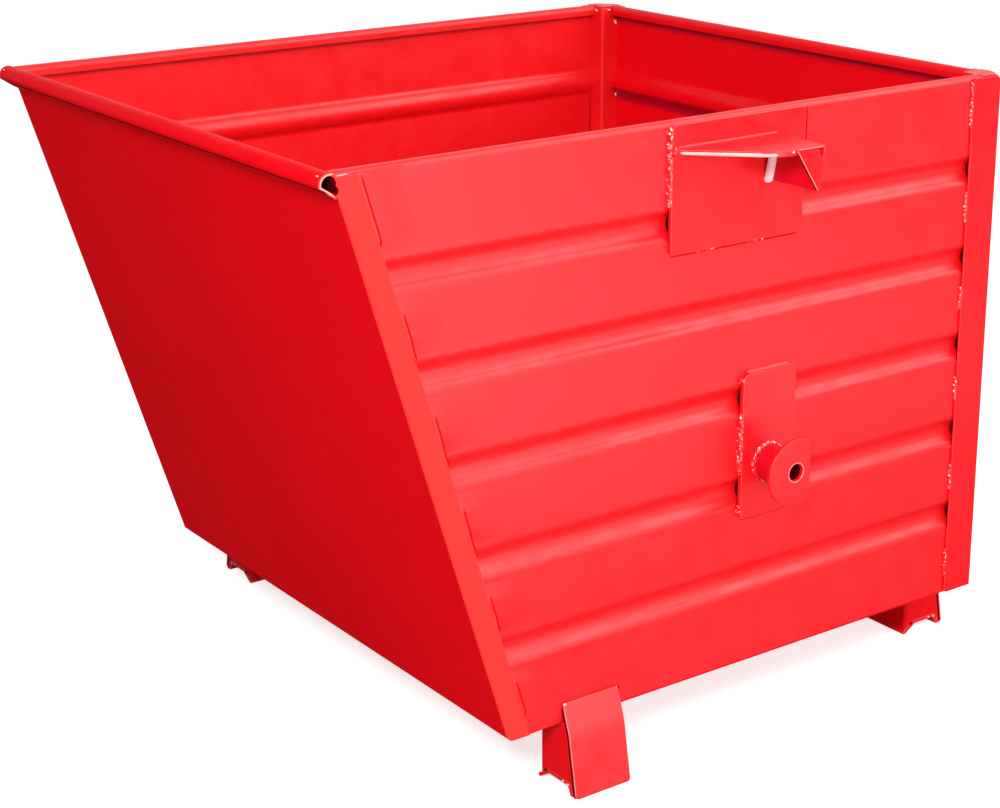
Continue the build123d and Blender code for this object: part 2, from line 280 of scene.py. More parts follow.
# Front flange seams
# The flanges of the front sheet lap over the side walls and are welded and dressed smooth on the
# flats between the swages. Where the weld stops, a thin dark strip shows the open lap, partly its own
# darkness and partly painted shade. The rolled lip's cut end carries a light strip of painted highlight,
# and a tack, also light with painted highlight, holds its corner to the flange.
sides = ((1, "right"), (-1, "left"))
forwards = Vector((0, -1, 0))
even = 0.1
lumpy = 0.9
sharp_corner = math.radians(50)
swages = (572, 457, 342, 227, 112)
swage_reach = 20
wall_flats = ((714, 595), (549, 480), (434, 365), (319, 250), (204, 135), (89, -25))
flange_foot = 0.730
flange_lean = 213 / 690
flange_off_wall = 0.00305
flange_gaps = ((683, 612), (530, 482), (411, 357), (297, 249), (187, 146), (72, 32))
gap_behind = 0.0030
gap_foot = ((1.5, 0.0024), (3.5, 0.0008), (6.0, -0.0010))
weld_top = 688
weld_low = 1
weld_end = 26
weld_lap = 0.002
weld_width = 0.056
weld_cells = 24
weld_buried = 0.0001
weld_proud = 0.00003
rng = random.Random(5)


def height(millimetres):
    """A height above the underside of the floor."""
    return floor_under + millimetres / 1000


def lay_bead(form, rings, lump):
    """Draw a bead through rings of (middle, half width, half height), with round ends.

    lump swells it here and there and roughens its back, as a weld laid by hand is.
    """
    steps = [0.0]
    for ring, following in zip(rings, rings[1:]):
        steps.append(steps[-1] + (following[0] - ring[0]).length)
    place = rng.uniform(0, 100)
    corners = bmesh.ops.create_circle(form, cap_ends=True, segments=12, radius=1.0)["verts"]
    end = corners[0].link_faces[0]
    shares = [(corner, corner.co.x, corner.co.y) for corner in corners]
    backs = []
    for number, (middle, across, out) in enumerate(rings):
        way = steps[number]
        swell = noise.noise((way / 0.0058, place, 0)) + 0.8 * noise.noise((way / 0.0023, place, 5))
        middle = middle + across * lump * 0.5 * noise.noise((way / 0.0055, place, 9))
        round_end = math.sqrt(min(1.0, (min(way, steps[-1] - way) + 0.0004) / 0.003))
        wide = across * round_end * (1 + lump * 0.3 * swell)
        tall = out * round_end * (1 + lump * 0.6 * swell)
        if number:
            grown = bmesh.ops.extrude_face_region(form, geom=[end])["geom"]
            fresh = [item for item in grown if isinstance(item, bmesh.types.BMVert)]
            if number > 1:
                bmesh.ops.delete(form, geom=[end], context="FACES_ONLY")
            end = next(item for item in grown if isinstance(item, bmesh.types.BMFace))
            shares = [
                (corner, (corner.co - last[0]).dot(last[1]) / last[1].length_squared,
                 (corner.co - last[0]).dot(last[2]) / last[2].length_squared)
                for corner in fresh
            ]
        for corner, sideways, raised in shares:
            corner.co = middle + wide * sideways + tall * raised
            backs.append((corner, tall * raised))
        last = (middle.copy(), wide, tall)
    for corner, rise in backs:
        rough = noise.noise(corner.co / 0.0021) + 0.6 * noise.noise(corner.co / 0.0011)
        corner.co += rise * lump * 0.8 * rough


def fillet(start, end, face, edge, reach, rise, pitch=0.0008):
    """Rings of a weld in the corner between a face and an edge that stands on it, from their normals.

    reach is how far it goes along the face and up the edge.
    """
    along, up = reach
    count = max(6, round((end - start).length / pitch))
    across = (face * up - edge * along) * 0.55
    out = (face * along + edge * up).normalized() * rise
    middle = (face * up + edge * along) / 2
    return [(start.lerp(end, step / count) + middle, across, out) for step in range(count + 1)]


def ribbon(path, facing, half_width, rise=0.0002):
    """Rings of a flat strip along a path on a face that looks one way."""
    rings = []
    for number, place in enumerate(path):
        before, after = path[max(0, number - 1)], path[min(len(path) - 1, number + 1)]
        across = (after - before).cross(facing).normalized() * half_width
        rings.append((place, across, facing * rise))
    return rings


def lay_strip(form, start, end, facing, half_width, rise=0.0002, lump=even, count=12):
    """A flat strip along a line on a face that looks one way."""
    path = [start.lerp(end, step / count) for step in range(count + 1)]
    lay_bead(form, ribbon(path, facing, half_width, rise), lump)


def finish_piece(name, form, material, smooth=True):
    """Close a new piece, shade it and let it ride with the hopper."""
    bmesh.ops.recalc_face_normals(form, faces=form.faces)
    for face in form.faces:
        face.smooth = smooth
    for edge in form.edges:
        edge.smooth = edge.calc_face_angle(0.0) < sharp_corner
    mesh = bpy.data.meshes.new(name)
    form.to_mesh(mesh)
    form.free()
    piece = bpy.data.objects.new(name, mesh)
    bpy.context.scene.collection.objects.link(piece)
    piece.data.materials.append(material)
    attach(piece, "root")
    return piece


def on_side(side, *place):
    """A place or direction of the right side, or its mirror image for side -1."""
    return Vector((place[0] * side, place[1], place[2]))


def flange_edge(side, up, behind=0.0, out=0.0):
    """A place at the rear edge of a flange, by its height in mm."""
    ahead = flange_foot + flange_lean * up / 1000
    return on_side(side, wall_face + out, rear_face - ahead + behind, height(up))


def shade_lines(form, side, edge_y, bottom, top):
    """Painted shade: dark lines on the front edge of a plate, where it bridges the swages and the groove
    behind lies in shade, between two heights in mm.
    """
    line_out = wall_face + 0.0006
    for swage in swages:
        if bottom < swage < top:
            line_top = on_side(side, line_out, edge_y - skin, height(swage + swage_reach))
            line_low = on_side(side, line_out, edge_y - skin, height(swage - swage_reach))
            lay_strip(form, line_top, line_low, forwards, half_width=0.0006)


def eased_share(share):
    """A share from 0 to 1 with a soft start and end."""
    share = min(1.0, max(0.0, share))
    return share * share * (3 - 2 * share)


def dressed(behind, up):
    """How far the dressed weld stands off the wall, behind the flange's edge and at a height in mm."""
    for top, low in wall_flats:
        if low < up < top:
            ends = eased_share(min(up - low, top - up) / weld_end)
            return flange_off_wall * (1 - eased_share((behind + weld_lap) / weld_width)) * ends
    return 0.0


def blended_weld(form, side, top, low):
    """A weld dressed smooth: the flange's face runs out into the wall, its edges just under the paint."""
    grid = bmesh.ops.create_grid(form, x_segments=weld_cells, y_segments=weld_cells, size=0.5)["verts"]
    for vert in grid:
        share = vert.co.x + 0.5
        up = low + (top - low) * (vert.co.y + 0.5)
        behind = weld_width * share - weld_lap
        rise = dressed(behind, up)
        buried = weld_buried * (1 - min(1.0, 12 * share, 12 * (1 - share), rise / 0.0002))
        vert.co = flange_edge(side, up, behind, rise - buried + weld_proud)
    sheet_faces = list({face for vert in grid for face in vert.link_faces})
    bmesh.ops.recalc_face_normals(form, faces=sheet_faces)
    if sheet_faces[0].normal.x * side < 0:
        bmesh.ops.reverse_faces(form, faces=sheet_faces)
    bmesh.ops.solidify(form, geom=sheet_faces, thickness=0.0008)


smooth_bead = red_paint("smooth_bead_paint", red, roughness=0.42, gloss=0.52, seed=2, edge_light=0.0)
bare_look = {"edge_light": 0.0, "waviness": 0.0}
# Painted glints: the hand-laid beads carry near-white specks on their high spots for the lamps' glints.
bead_paint = red_paint("hand_bead_paint", red, roughness=0.17, gloss=0.60, seed=9, glint_amount=0.9, **bare_look)
# Painted glint: a near-white paint for welds and tacks, whose glints are painted into their colour.
glint_bead = red_paint("glint_bead_paint", (0.97, 0.90, 0.88), 0.17, 0.60, seed=9, **bare_look)
# Painted highlight: a light pink paint for strips along cut edges, and for tacks, that stand for the
# highlights on them.
edge_glint_paint = red_paint("edge_glint_paint", (0.95, 0.40, 0.36), 0.40, 0.45, seed=10, **bare_look)
# Open joints and painted shade: a dark red for thin strips on the wall beside unwelded edges, partly the open
# joint's own darkness and partly painted shade.
open_seam_shade = red_paint("open_seam_shade_paint", (0.72, 0.002, 0.004), 0.80, 0.05, seed=8, **bare_look)
# Painted shade: a near-black for thin strips where shade lies in gaps and in the grooves' openings at the
# edges of plates.
near_black_shade = red_paint("near_black_shade_paint", (0.10, 0.001, 0.003), 0.90, 0.02, seed=8, **bare_look)
seam_face = wall_face + skin
lip_front = sheet_low.y
lip_top = sheet_high.z
lip_end = sheet_high.x - 0.0004
nose_middle = 0.012
nose_radius = 0.0105
lip_path = [(0.0175, -0.0015), (0.0145, -0.0015)]
for step in range(7):
    turn = math.radians(90 + 15 * step)
    lip_path.append((nose_middle + nose_radius * math.cos(turn), -nose_middle + nose_radius * math.sin(turn)))
lip_path += [(0.0016, -0.0136), (0.0080, -0.0179), (0.0140, -0.0220), (0.0200, -0.0264)]
for side, word in sides:
    outwards = on_side(side, 1, 0, 0)
    beads = bmesh.new()
    gaps = bmesh.new()
    for top, low in wall_flats:
        blended_weld(beads, side, min(top, weld_top), max(low, weld_low))
    # Dark strips along the unwelded stretches: the open lap and painted shade in it.
    for top, low in flange_gaps:
        path = []
        for step in range(13):
            up = top + (low - top) * step / 12
            path.append(flange_edge(side, up, gap_behind, dressed(gap_behind, up) + skin))
        for down, behind in gap_foot:
            path.append(flange_edge(side, low - down, behind, 0.0031))
        lay_bead(gaps, ribbon(path, outwards, half_width=0.0011), even)
    finish_piece(f"flange_welds_{word}", beads, smooth_bead)
    floor_front = on_side(side, seam_face, rear_face - flange_foot + 0.006, height(1.2))
    floor_rear = on_side(side, seam_face, post_low.y - 0.001, height(1.2))
    lay_strip(gaps, floor_front, floor_rear, outwards, half_width=0.0009)
    finish_piece(f"flange_open_seams_{word}", gaps, open_seam_shade)

    # Painted highlight: a light strip along the rolled lip's cut end.
    edge_glint = bmesh.new()
    path = [on_side(side, lip_end, lip_front + back, lip_top + down) for back, down in lip_path]
    lay_bead(edge_glint, ribbon(path, outwards, half_width=0.0012, rise=0.0007), lump=0.15)
    finish_piece(f"lip_edge_glint_{word}", edge_glint, edge_glint_paint)
    # The lip's tacks take the light, painted-highlight paint.
    tacks = bmesh.new()
    tack_start = on_side(side, 0.3885, lip_front + 0.0034, lip_top - 0.0034)
    tack_end = on_side(side, 0.3940, lip_front + 0.0034, lip_top - 0.0034)
    slanted = Vector((0, -0.7, 0.7))
    lay_strip(tacks, tack_start, tack_end, slanted, half_width=0.0012, rise=0.0007, lump=0.5)
    corner_start = on_side(side, sheet_high.x - 0.0006, lip_front + 0.020, lip_top - 0.0040)
    corner_end = on_side(side, sheet_high.x - 0.0006, lip_front + 0.034, lip_top - 0.0034)
    lay_strip(tacks, corner_start, corner_end, outwards, half_width=0.0008, rise=0.0007, lump=lumpy, count=18)
    finish_piece(f"lip_tacks_{word}", tacks, edge_glint_paint)

# Rear corners
# A folded post outside, a folded angle inside and a small cap close each rear corner. The post is
# stitched to the walls on the flats between the swages with short, lumpy hand-laid welds, and the
# cap and the angle are tacked. The welds carry painted glints, and the tacks are near-white with them.
# What isn't welded shows as a thin dark strip: the open joint with painted shade in it.
corner_paint = red_paint("corner_paint", red, roughness=0.38, gloss=0.35, seed=3, edge_light=0.35)
backwards = Vector((0, 1, 0))
upwards = Vector((0, 0, 1))
post_welds = ((683, 627), (545, 506), (422, 390), (302, 270), (181, 145), (63, 25))
post_seams = ((627, 594), (550, 545), (506, 479), (435, 422), (390, 364), (320, 302), (270, 249), (205, 181),
              (145, 134), (90, 63), (25, 3))
post_reach = (0.0028, 0.0026)
post_rise = 0.0016
beside_post = 0.0011
post_wall = 0.0015
fill_height = post_high.z - 0.0002
under_cap = lip_top - 0.0058
corner_seam = wall_face - 0.0040
angle_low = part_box("corner_angle_right")[0]
for side, word in sides:
    finish_nodes(corner_paint, f"corner_post_{word}", f"corner_cap_{word}")
    finish_nodes(wall_paint, f"corner_angle_{word}")
    outwards = on_side(side, 1, 0, 0)
    inwards = on_side(side, -1, 0, 0)
    beads = bmesh.new()
    for top, low in post_welds:
        side_top = on_side(side, wall_face, post_low.y, height(top))
        side_low = on_side(side, wall_face, post_low.y, height(low))
        lay_bead(beads, fillet(side_top, side_low, outwards, forwards, post_reach, post_rise), lumpy)
        rear_top = on_side(side, post_low.x, rear_skin, height(top))
        rear_low = on_side(side, post_low.x, rear_skin, height(low))
        lay_bead(beads, fillet(rear_top, rear_low, backwards, inwards, post_reach, post_rise), lumpy)
    finish_piece(f"post_welds_{word}", beads, bead_paint)

    cap_tacks = (
        ((0.3850, angle_low.y, under_cap), (0.3755, angle_low.y, under_cap - 0.0015), forwards),
        (
            (angle_low.x, angle_low.y + 0.011, under_cap),
            (angle_low.x, angle_low.y + 0.016, under_cap),
            inwards,
        ),
        ((angle_low.x, 0.4690, height(668)), (angle_low.x, 0.4730, height(661)), inwards),
        ((angle_low.x, 0.4728, height(555)), (angle_low.x, 0.4724, height(550)), inwards),
    )
    # The tacks of the cap and angle take the near-white paint, with their glints painted into it.
    tacks = bmesh.new()
    for start, end, facing in cap_tacks:
        tack_start = on_side(side, *start)
        tack_end = on_side(side, *end)
        lay_strip(tacks, tack_start, tack_end, facing, half_width=0.0014, rise=0.0014, lump=lumpy)
    finish_piece(f"cap_tacks_{word}", tacks, glint_bead)

    fill = bmesh.new()
    side_start = on_side(side, post_high.x - post_wall, post_low.y + 0.0006, fill_height)
    side_end = on_side(side, post_high.x - post_wall, angle_low.y + 0.001, fill_height)
    lay_strip(fill, side_start, side_end, upwards, half_width=0.0021, rise=0.0026)
    rear_start = on_side(side, post_low.x + 0.0006, rear_face - post_wall, fill_height)
    rear_end = on_side(side, angle_low.x + 0.001, rear_face - post_wall, fill_height)
    lay_strip(fill, rear_start, rear_end, upwards, half_width=0.0021, rise=0.0026)
    finish_piece(f"post_top_welds_{word}", fill, smooth_bead)

    # Dark strips beside the post's unwelded stretches: the open joint and painted shade in it.
    seams = bmesh.new()
    for top, low in post_seams:
        side_top = on_side(side, seam_face, post_low.y - beside_post, height(top))
        side_low = on_side(side, seam_face, post_low.y - beside_post, height(low))
        lay_strip(seams, side_top, side_low, outwards, half_width=0.0009)
        rear_top = on_side(side, post_low.x - beside_post, rear_skin + skin, height(top))
        rear_low = on_side(side, post_low.x - beside_post, rear_skin + skin, height(low))
        lay_strip(seams, rear_top, rear_low, backwards, half_width=0.0009)
    finish_piece(f"post_open_seams_{word}", seams, open_seam_shade)
    # Painted shade: near-black strips down the inner angle's seam, and on the post's edge where it bridges
    # the swages.
    shades = bmesh.new()
    seam_top = on_side(side, corner_seam, angle_low.y - skin, height(550))
    seam_low = on_side(side, corner_seam, angle_low.y - skin, height(6))
    lay_strip(shades, seam_top, seam_low, forwards, half_width=0.0008)
    shade_lines(shades, side, post_low.y, 0, 690)
    finish_piece(f"corner_near_black_shades_{word}", shades, near_black_shade)

# Inside seams
# The walls stand against the floor and front sheet, and short welds hold them from the inside, on the
# flats between the swages and in stitches along the floor.
sheet_gauge = 0.003
wall_inside = wall_face - sheet_gauge
rear_inside = rear_skin - sheet_gauge
floor_top = floor_under + sheet_gauge
front_inside = 0.0269
front_slope = Vector((0, 0.955, 0.295))
stitch_length = 0.045
stitch = {"reach": (0.0040, 0.0040), "rise": 0.0012, "pitch": 0.0015}
beads = bmesh.new()
for number in range(-2, 3):
    start = Vector((0.13 * number - 0.022, rear_inside, floor_top))
    end = start + Vector((stitch_length, 0, 0))
    lay_bead(beads, fillet(start, end, forwards, upwards, **stitch), lump=0.4)
finish_piece("rear_floor_stitches", beads, bead_paint)
for side, word in sides:
    inwards = on_side(side, -1, 0, 0)
    beads = bmesh.new()
    for number in range(5):
        start = on_side(side, wall_inside, rear_face - 0.70 + 0.14 * number, floor_top)
        end = start + Vector((0, stitch_length, 0))
        lay_bead(beads, fillet(start, end, inwards, upwards, **stitch), lump=0.4)
    for top, low in post_welds[1:]:
        ends = []
        for up in (top, low):
            ahead = flange_foot + front_inside + flange_lean * up / 1000
            ends.append(on_side(side, wall_inside, rear_face - ahead, height(up)))
        lay_bead(beads, fillet(*ends, inwards, front_slope, **stitch), lump=0.4)
    finish_piece(f"inside_stitches_{word}", beads, bead_paint)

# Trunnions
# A plate, a turned stub with a bore and an end disc on each side, which the hooks of a lifting bail
# take hold of. The disc is flame-cut and has a flat level with the stub's rear side. The plate is
# welded to the flats of the wall and the stub all round.
axle_low, axle_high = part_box("trunnion_stub_right")
axle = Vector((0.0, (axle_low.y + axle_high.y) / 2, (axle_low.z + axle_high.z) / 2))
stub_radius = (axle_high.z - axle_low.z) / 2
disc_low, disc_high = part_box("trunnion_disc_right")
disc_radius = (disc_high.z - disc_low.z) / 2
disc_bore = 0.0105
# Painted shade: deep in the bore, the paint turns near-black for the shade in the hole.
dark_bore = 0.0107
bore = [("round", axle, (all_across, dark_bore, dark_bore), None)]
trunnion_paint = red_paint("trunnion_paint", red, roughness=0.36, gloss=0.55, seed=4, shaded_hollows=bore)
disc_paint = red_paint("trunnion_disc_paint", red, roughness=0.36, gloss=0.55, seed=4)
# Painted shade: the stub, and the gusset under each ramp, take a darker copy of the red for the shade on
# them.
stub_gusset_shade_paint = red_paint(
    "stub_gusset_shade_paint", (0.66, 0.001, 0.018), roughness=0.40, gloss=0.30, seed=4, edge_light=0.3, waviness=0.2,
    shaded_hollows=bore,
)
pad_low, pad_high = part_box("trunnion_plate_right")
pad_welds = ((371, 364), (327, 250), (210, 198))
pad_edges = ((pad_low.y, forwards, (0.0026, 0.0064)), (pad_high.y, -forwards, (0.0026, 0.0030)))
pad_seams = ((363, 352), (346, 338), (248, 214))
pad_corner = 0.008
behind_pad = pad_high.y + 0.0072
under_pad = pad_low.z - 0.0035
ring_steps = 210
ring_leg = 0.0034
eased_edge = {"offset": 0.0008, "offset_type": "OFFSET", "segments": 2, "profile": 0.5}
for side, word in sides:
    finish_nodes(trunnion_paint, f"trunnion_plate_{word}")
    finish_nodes(stub_gusset_shade_paint, f"trunnion_stub_{word}")
    outwards = on_side(side, 1, 0, 0)
    blank = bmesh.new()
    bmesh.ops.create_circle(blank, segments=192, radius=disc_radius)
    for vert in blank.verts:
        vert.co.x = min(vert.co.x, stub_radius)
    bmesh.ops.create_circle(blank, segments=96, radius=disc_bore)
    faces = bmesh.ops.bridge_loops(blank, edges=blank.edges)["faces"]
    rims = [edge for edge in blank.edges if edge.is_boundary]
    grown = bmesh.ops.extrude_face_region(blank, geom=faces)["geom"]
    raised = [item for item in grown if isinstance(item, bmesh.types.BMVert)]
    bmesh.ops.translate(blank, vec=(0, 0, disc_high.x - disc_low.x), verts=raised)
    upper_edges = [item for item in grown if isinstance(item, bmesh.types.BMEdge)]
    rims += [edge for edge in upper_edges if edge.calc_face_angle(0.0) > 1.0]
    bmesh.ops.bevel(blank, geom=rims, affect="EDGES", material=-1, **eased_edge)
    for vert in blank.verts:
        vert.co = on_side(side, disc_low.x + vert.co.z, axle.y + vert.co.x, axle.z + vert.co.y)
    disc = finish_piece(f"trunnion_end_{word}", blank, disc_paint, False)
    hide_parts(f"trunnion_disc_{word}")

    # Painted highlight: a light ring around the disc's hole.
    edge_glint = bmesh.new()
    hole_edge = []
    for step in range(75):
        turn = math.tau * step / 72
        radial = Vector((0, math.cos(turn), math.sin(turn))) * (disc_bore + 0.0015)
        hole_edge.append(on_side(side, disc_high.x, axle.y, axle.z) + radial)
    lay_bead(edge_glint, ribbon(hole_edge, outwards, half_width=0.0005), even)
    finish_piece(f"trunnion_hole_edge_glint_{word}", edge_glint, edge_glint_paint)

    # The welds carry painted glints on their high spots.
    beads = bmesh.new()
    crown = bmesh.new()
    for top, low in pad_welds:
        for edge_y, edge, reach in pad_edges:
            pad_top = on_side(side, wall_face, edge_y, height(top))
            pad_bottom = on_side(side, wall_face, edge_y, height(low))
            lay_bead(beads, fillet(pad_top, pad_bottom, outwards, edge, reach, rise=0.0017), lumpy)
    crown_front = on_side(side, wall_face, pad_low.y + pad_corner, pad_high.z)
    crown_rear = on_side(side, wall_face, pad_high.y - pad_corner, pad_high.z)
    crown_rings = fillet(crown_front, crown_rear, outwards, upwards, reach=(0.0034, 0.0040), rise=0.0005)
    lay_bead(crown, crown_rings, lump=0.15)
    ring = []
    for step in range(ring_steps + 5):
        turn = math.tau * step / ring_steps
        radial = Vector((0, math.cos(turn), math.sin(turn)))
        corner = on_side(side, axle_low.x, axle.y, axle.z) + radial * stub_radius
        across = (outwards - radial) * ring_leg * 0.55
        out = (outwards + radial).normalized() * 0.0014
        ring.append((corner + (outwards + radial) * ring_leg / 2, across, out))
    lay_bead(beads, ring, lump=0.8)
    finish_piece(f"trunnion_welds_{word}", beads, bead_paint)
    finish_piece(f"trunnion_top_weld_{word}", crown, smooth_bead)

    # Dark strips under the plate and behind its rear edge: the open joint and painted shade in it.
    seams = bmesh.new()
    under_front = on_side(side, seam_face, pad_low.y + 0.004, under_pad)
    under_rear = on_side(side, seam_face, pad_high.y - 0.003, under_pad)
    lay_strip(seams, under_front, under_rear, outwards, half_width=0.0009)
    for top, low in pad_seams:
        rear_top = on_side(side, seam_face, behind_pad, height(top))
        rear_low = on_side(side, seam_face, behind_pad, height(low))
        lay_strip(seams, rear_top, rear_low, outwards, half_width=0.0008)
    finish_piece(f"trunnion_open_seams_{word}", seams, open_seam_shade)
    # Painted shade: near-black strips on the plate's front edge where it bridges the swages.
    shades = bmesh.new()
    shade_lines(shades, side, pad_low.y, 193, 371)
    finish_piece(f"trunnion_near_black_shades_{word}", shades, near_black_shade)

# Latch ramps
# A plate, a flame-cut ramp with its lip folded down and a gusset under it, on each side. The plate
# is welded along its front edge and tacked below, the ramp and its gusset along the plate. The cut
# edges and the fold of the ramp and of its lip, which has a small window, carry a painted highlight.
# The gusset's weld is near-white with a painted glint, and the gusset takes a darker, painted-shade red.
# Dark strips under and behind the plate show the open joint with painted shade in it, and near-black
# strips of painted shade lie on the plate's front edge over the swages and along the lip.
latch_paint = red_paint("latch_paint", red, roughness=0.34, gloss=0.45, seed=5)
ramp_paint = red_paint("ramp_paint", red, roughness=0.34, gloss=0.32, seed=5)
# Open joint and painted shadow: a lighter dark red for the strips under the plate, where the plate's shadow
# falls below it.
plate_seam_shade = red_paint("plate_seam_shade_paint", (0.95, 0.010, 0.012), 0.80, 0.05, seed=8, **bare_look)
plate_low, plate_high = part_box("latch_plate_right")
ramp_low, ramp_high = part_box("latch_ramp_right")
gusset_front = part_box("latch_gusset_right")[0].y
plate_tacks = ((-493, -480), (-475, -468), (-413, -392))
plate_seams = ((-533, -494), (-467, -414), (-391, -338))
under_plate = plate_low.z - 0.0035
behind_plate = plate_high.y + 0.0074
ramp_root = plate_high.x
ramp_top = ramp_high.z
ramp_end = ramp_high.x
ramp_inset = 0.0012
ramp_sheet = 0.0060
ramp_tip = 0.005
shoulder_radius = 0.0585
shoulder_turn = 44.6
shoulder_steps = 15
shoulder = Vector((ramp_end - ramp_inset - shoulder_radius, ramp_low.y + 0.1049))
lip_face = ramp_end - ramp_inset
lip_rear = ramp_high.y - 0.009
lip_corners = ((-42.9, 0.0), (-8.5, -51.5), (-1.6, -26.5), (-0.2, 0.0))
lip_window = ((-13.4, -1.8), (-3.0, -15.8), (-1.6, -1.8))
lip_panels = ((0, 1, 2, 5, 4), (0, 4, 6, 3), (3, 6, 5, 2))
lip_sheet = 0.0032
lip_zone = 0.008
fold_depth = 0.0065
fold_thin = 0.0010
fold_back = 0.0040
lip_slope = Vector((0, -0.832, -0.555))
cut_start = Vector((ramp_root + 0.0068, ramp_low.y + 0.0020))
cut_step = Vector((0.00260, 0.00262))
cut_lean = math.radians(16)
for side, word in sides:
    finish_nodes(latch_paint, f"latch_plate_{word}")
    finish_nodes(stub_gusset_shade_paint, f"latch_gusset_{word}")
    outwards = on_side(side, 1, 0, 0)
    sheet = bmesh.new()
    turn = math.radians(shoulder_turn)
    centre = on_side(side, shoulder.x, shoulder.y, ramp_top)
    first = sheet.verts.new(centre + on_side(side, math.cos(turn), -math.sin(turn), 0) * shoulder_radius)
    around = {"cent": centre, "axis": (0, 0, side), "angle": turn, "steps": shoulder_steps}
    bmesh.ops.spin(sheet, geom=[first], **around)
    arc = sorted(sheet.verts, key=lambda vert: vert.co.y)
    root = ((ramp_root, ramp_high.y), (ramp_root, ramp_low.y), (ramp_root + ramp_tip, ramp_low.y))
    level = [sheet.verts.new(on_side(side, x, y, ramp_top)) for x, y in root] + arc
    lip = []
    for y, z in lip_corners + lip_window:
        lip.append(sheet.verts.new(on_side(side, lip_face, lip_rear + y / 1000, ramp_top + z / 1000)))
    bent = [sheet.faces.new(level + [lip[0], lip[3]])]
    for corners in lip_panels:
        bent.append(sheet.faces.new([lip[corner] for corner in corners]))
    bmesh.ops.recalc_face_normals(sheet, faces=bent)
    if bent[0].normal.z < 0:
        bmesh.ops.reverse_faces(sheet, faces=bent)
    bmesh.ops.solidify(sheet, geom=bent, thickness=ramp_sheet)
    # The lip is thinner than the ramp, and the inner corner of its fold lies behind its front edge.
    for vert in sheet.verts:
        behind_lip = lip_face - abs(vert.co.x)
        if 0.001 < behind_lip < lip_zone and vert.co.z < ramp_top - fold_depth:
            vert.co.x = side * (lip_face - lip_sheet)
        elif 0.004 < behind_lip < lip_zone and abs(vert.co.y - lip[0].co.y) < 0.001:
            vert.co.x = side * (lip_face - lip_sheet - fold_thin)
            vert.co.y = vert.co.y + fold_back
    ramp = finish_piece(f"latch_bent_ramp_{word}", sheet, ramp_paint, False)
    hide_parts(f"latch_ramp_{word}")

    beads = bmesh.new()
    edge_top = on_side(side, wall_face, plate_low.y, height(684))
    edge_low = on_side(side, wall_face, plate_low.y, height(592))
    edge_rings = fillet(edge_top, edge_low, outwards, forwards, reach=(0.0026, 0.0056), rise=0.0017)
    lay_bead(beads, edge_rings, lumpy)
    for front, back in plate_tacks:
        tack_front = on_side(side, wall_face, rear_face + front / 1000, plate_low.z)
        tack_back = on_side(side, wall_face, rear_face + back / 1000, plate_low.z)
        tack_rings = fillet(tack_front, tack_back, outwards, -upwards, reach=(0.0030, 0.0050), rise=0.0015)
        lay_bead(beads, tack_rings, lump=0.6)
    finish_piece(f"latch_plate_welds_{word}", beads, bead_paint)

    # Dark strips under the plate: the open joint and the plate's shadow below it, painted.
    seams = bmesh.new()
    for front, back in plate_seams:
        seam_front = on_side(side, seam_face, rear_face + front / 1000, under_plate)
        seam_back = on_side(side, seam_face, rear_face + back / 1000, under_plate)
        lay_strip(seams, seam_front, seam_back, outwards, half_width=0.0011, lump=0.25)
    finish_piece(f"latch_open_seams_{word}", seams, plate_seam_shade)
    # Painted shade: a dark strip on the wall behind the plate's rear edge.
    seams = bmesh.new()
    rear_top = on_side(side, seam_face, behind_plate, height(684))
    rear_low = on_side(side, seam_face, behind_plate, height(640))
    lay_strip(seams, rear_top, rear_low, outwards, half_width=0.0013)
    finish_piece(f"latch_rear_shade_line_{word}", seams, open_seam_shade)
    # Painted shade: near-black strips on the plate's front edge over the swages and along the lip.
    shades = bmesh.new()
    shade_lines(shades, side, plate_low.y, 538, 690)
    dark_top = on_side(side, ramp_end - 0.0036, lip_rear - 0.0400, ramp_top - 0.0046)
    dark_low = on_side(side, ramp_end - 0.0036, lip_rear - 0.0093, ramp_top - 0.0506)
    lay_strip(shades, dark_top, dark_low, lip_slope, half_width=0.0009, rise=0.0004)
    finish_piece(f"latch_near_black_shades_{word}", shades, near_black_shade)

    # Painted highlight: light strips along the lip's edge, the ramp's cut edge and the fold, and a dot at the
    # lip's corner.
    edges = bmesh.new()
    bright_top = on_side(side, ramp_end - 0.0016, lip_rear - 0.0417, ramp_top - 0.0018)
    bright_low = on_side(side, ramp_end - 0.0016, lip_rear - 0.0091, ramp_top - 0.0506)
    lay_strip(edges, bright_top, bright_low, lip_slope, half_width=0.0010, rise=0.0003)
    beads = bmesh.new()
    root_front = on_side(side, ramp_root, ramp_low.y + 0.003, ramp_top)
    root_back = on_side(side, ramp_root, ramp_high.y - 0.005, ramp_top)
    root_rings = fillet(root_front, root_back, outwards, upwards, (0.0028, 0.0026), rise=0.0004, pitch=0.002)
    lay_bead(beads, root_rings, lump=0.15)
    finish_piece(f"latch_root_weld_{word}", beads, smooth_bead)
    # The gusset's weld takes the near-white paint, with its glint painted into it.
    brace = bmesh.new()
    brace_top = on_side(side, ramp_root + 0.010, gusset_front, height(652))
    brace_low = on_side(side, ramp_root - 0.001, gusset_front, height(604))
    brace_rings = fillet(brace_top, brace_low, outwards, forwards, reach=(0.0064, 0.0068), rise=0.0022)
    lay_bead(brace, brace_rings, lump=0.15)
    finish_piece(f"latch_brace_weld_{word}", brace, glint_bead)
    beads = bmesh.new()
    tip_high = on_side(side, ramp_root, ramp_low.y, ramp_top + 0.003)
    tip_low = on_side(side, ramp_root, ramp_low.y, ramp_top - 0.009)
    lay_bead(beads, fillet(tip_high, tip_low, outwards, forwards, reach=(0.0038, 0.0038), rise=0.0018), lumpy)

